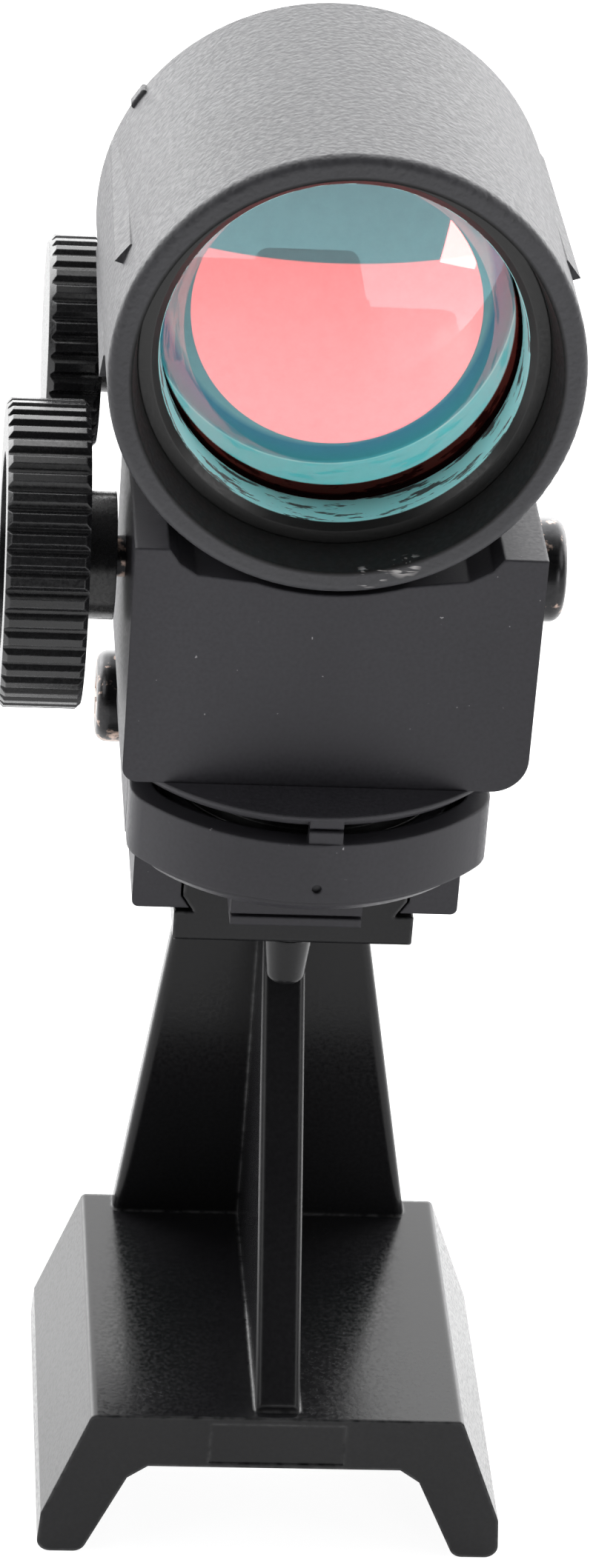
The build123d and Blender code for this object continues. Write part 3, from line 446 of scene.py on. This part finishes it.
# ---------------------------------------------------------------- sight optics
SIGHT_AXIS = sum(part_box("lens_ring"), Vector()) / 2
LENS_LOW, LENS_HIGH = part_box("lens")
LENS_R = (LENS_HIGH.x - LENS_LOW.x) / 2
LENS_FRONT_R = 34.0 * MM
LENS_THICK = 2.6 * MM
LENS_INSET = 0.02 * MM
LENS_STEPS = 40
LENS_AROUND = 160
# share of the light behind the lens that comes straight through, and scattered
GLASS_CLEAR = 0.09
GLASS_MILKY = 0.33
# colours of the red mirror coating, over the glass and over its ground seat
COAT_RED = (0.80, 0.095, 0.086)
SEAT_RED = (0.20, 0.02, 0.015)
SEAT_GLOW = (0.06, 0.03, 0.03)
# discs on the glass, as centre and radius in mm: the edge of the teal, and the disc about which a darker
# crescent and a bright ring are painted into the see-through light
TEAL_DISC = ((-0.44, 1.14), 12.32)
PAINTED_CRESCENT_DISC = ((-1.08, 3.64), 11.4)
# colour of the light through the glass, from inside the crescent's disc outwards: the teal of the glass,
# with a painted darker crescent of shade and a painted bright ring near the edge
PAINTED_GLOW_STOPS = (
    (0.0, (0.46, 0.98, 1.06)), (0.30, (0.44, 0.98, 1.06)), (0.42, (0.13, 0.55, 0.78)),
    (0.72, (0.10, 0.62, 0.72)), (0.78, (0.16, 0.85, 0.95)), (0.80, (0.6, 1.6, 1.6)),
    (0.83, (0.22, 1.25, 1.30)),
)


def on_glass(offset):
    return SIGHT_AXIS + Vector((offset[0], 0.0, offset[1])) * MM


def coated_glass():
    """Front of the lens: a red mirror coating over teal glass, its dark ground seat showing low down. The
    light seen through the glass is partly painted: a darker crescent and a bright ring are painted into its
    tint.
    """
    f = Finish("coated_glass")
    out = f.tree.nodes["Material Output"]
    flat = (1.0, 0.0, 1.0)
    low = f.distance_mm(on_glass(PAINTED_CRESCENT_DISC[0]), flat)
    tint = f.node("ShaderNodeValToRGB")
    stops = tint.color_ramp.elements
    stops[0].position, stops[1].position = PAINTED_GLOW_STOPS[0][0], PAINTED_GLOW_STOPS[-1][0]
    for place, _ in PAINTED_GLOW_STOPS[1:-1]:
        stops.new(place)
    for stop, (_, colour) in zip(stops, PAINTED_GLOW_STOPS):
        stop.color = (*colour, 1.0)
    reach = PAINTED_CRESCENT_DISC[1]
    # painted light: the see-through tint is laid in rings about the crescent's disc, painting a darker
    # crescent of shade and a bright ring
    f.link(f.spread(low, 0.0, 1.0, reach - 1.5, reach + 2.3), tint.inputs["Fac"])
    inside = f.near(on_glass(TEAL_DISC[0]), TEAL_DISC[1], 0.12, flat)
    painted_glow = f.blend_colour(inside, SEAT_GLOW, tint.outputs["Color"])
    dust = f.spread(f.noise(0.9, 4.0, 0.7), 1.0, 0.92, 0.35, 0.8)
    painted_glow = f.times(painted_glow, dust)
    clear = f.node("ShaderNodeBsdfTransparent")
    f.link(f.times(painted_glow, f.maths("MULTIPLY", inside, GLASS_CLEAR)), clear.inputs["Color"])
    milky = f.node("ShaderNodeBsdfTranslucent")
    scattered = f.maths("ADD", f.maths("MULTIPLY", inside, GLASS_MILKY), 0.02)
    f.link(f.times(painted_glow, scattered), milky.inputs["Color"])
    coat = f.blend_colour(inside, SEAT_RED, COAT_RED)
    f.link(coat, f.shader.inputs["Base Color"])
    f.shader.inputs["Metallic"].default_value = 1.0
    f.link(f.spread(f.noise(3.0, 2.0, 0.5), 0.012, 0.03), f.shader.inputs["Roughness"])
    first = f.node("ShaderNodeAddShader")
    f.link(clear.outputs[0], first.inputs[0])
    f.link(milky.outputs[0], first.inputs[1])
    both = f.node("ShaderNodeAddShader")
    f.link(first.outputs[0], both.inputs[0])
    f.link(f.shader.outputs[0], both.inputs[1])
    f.link(both.outputs[0], out.inputs["Surface"])
    return f.material


def plain_glass():
    """Rear face and ground edge of the lens."""
    f = Finish("plain_glass")
    out = f.tree.nodes["Material Output"]
    clear = f.node("ShaderNodeBsdfTransparent")
    film = f.ramp(f.noise(1.5, 3.0, 0.6), 0.2, 0.8, (0.94, 0.97, 0.97), (0.98, 0.99, 0.99))
    f.link(film, clear.inputs["Color"])
    gloss = f.node("ShaderNodeBsdfGlossy")
    gloss.inputs["Color"].default_value = (0.05, 0.06, 0.06, 1.0)
    gloss.inputs["Roughness"].default_value = 0.02
    add = f.node("ShaderNodeAddShader")
    f.link(clear.outputs[0], add.inputs[0])
    f.link(gloss.outputs[0], add.inputs[1])
    f.link(add.outputs[0], out.inputs["Surface"])
    return f.material


def new_piece(name, bm, materials):
    mesh = bpy.data.meshes.new(name)
    bm.to_mesh(mesh)
    bm.free()
    for material in materials:
        mesh.materials.append(material)
    piece = bpy.data.objects.new(name, mesh)
    bpy.context.scene.collection.objects.link(piece)
    return piece


def turned_disc(profile, front_bands):
    """A disc turned about the sight axis. profile is (radius, y) from the front's middle to the back's,
    and its first front_bands bands take the first material, the others the second."""
    turns = [2 * math.pi * i / LENS_AROUND for i in range(LENS_AROUND)]
    bm = bmesh.new()
    rings = []
    for radius, y in profile:
        if radius == 0.0:
            rings.append([bm.verts.new((0.0, y, 0.0))])
            continue
        rings.append([bm.verts.new((radius * math.sin(t), y, radius * math.cos(t))) for t in turns])
    for band, (first, second) in enumerate(zip(rings, rings[1:])):
        for i in range(LENS_AROUND):
            after = (i + 1) % LENS_AROUND
            corners = [first[i], first[after]] if len(first) > 1 else [first[0]]
            corners += [second[after], second[i]] if len(second) > 1 else [second[0]]
            face = bm.faces.new(corners)
            face.smooth = True
            face.material_index = 0 if band < front_bands else 1
    bmesh.ops.recalc_face_normals(bm, faces=bm.faces)
    bm.transform(Matrix.Translation((SIGHT_AXIS.x, 0.0, SIGHT_AXIS.z)))
    return bm


def make_lens_piece(materials):
    radii = [(LENS_R - LENS_INSET) * i / LENS_STEPS for i in range(LENS_STEPS + 1)]
    bowl = [(r, LENS_LOW.y + LENS_FRONT_R - math.sqrt(LENS_FRONT_R ** 2 - r ** 2)) for r in radii]
    rear = [(r, y + LENS_THICK) for r, y in reversed(bowl)]
    bm = turned_disc(bowl + rear, LENS_STEPS)
    lens = new_piece("lens_glass", bm, [materials["coated_glass"], plain_glass()])
    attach(lens, "sight")
    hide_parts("lens")


# the spring that the tail presses on: its wire radius, its pitch, and the mesh steps per turn and sides
# around the wire
SPRING_WIRE_R = 0.3 * MM
SPRING_PITCH = 1.25 * MM
SPRING_STEPS = 40
SPRING_SIDES = 14


def make_spring_piece(materials):
    """Coil under the tail, built at rest in the spring part's box, which is hidden in its place."""
    low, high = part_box("altitude_spring")
    middle = (low + high) / 2
    radius = (high.x - low.x) / 2 - SPRING_WIRE_R
    climb = high.z - low.z - 2 * SPRING_WIRE_R
    turns = climb / SPRING_PITCH
    steps = round(turns * SPRING_STEPS)
    around = [2 * math.pi * k / SPRING_SIDES for k in range(SPRING_SIDES)]
    bm = bmesh.new()
    rings = []
    for i in range(steps + 1):
        turn = 2 * math.pi * turns * i / steps
        outward = Vector((math.cos(turn), math.sin(turn), 0.0))
        core = Vector((middle.x, middle.y, low.z + SPRING_WIRE_R + climb * i / steps)) + outward * radius
        rings.append([bm.verts.new(core + outward * (SPRING_WIRE_R * math.cos(a))
                                   + Vector((0.0, 0.0, SPRING_WIRE_R * math.sin(a)))) for a in around])
    for first, second in zip(rings, rings[1:]):
        for k in range(SPRING_SIDES):
            after = (k + 1) % SPRING_SIDES
            bm.faces.new((first[k], first[after], second[after], second[k])).smooth = True
    bm.faces.new(rings[0])
    bm.faces.new(rings[-1])
    bmesh.ops.recalc_face_normals(bm, faces=bm.faces)
    spring = new_piece("altitude_spring_coil", bm, [materials["spring_steel"]])
    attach(spring, "base")
    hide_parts("altitude_spring")
    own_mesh(spring)


def finish_cad_nodes(materials):
    for node in NODES.values():
        for slot in node.material_slots:
            slot.material = materials[slot.material.name]


make_camera()
make_world()
make_floor()
make_lights()
bpy.context.scene.view_settings.view_transform = "Standard"
materials = make_materials()
finish_cad_nodes(materials)
make_lens_piece(materials)
make_spring_piece(materials)
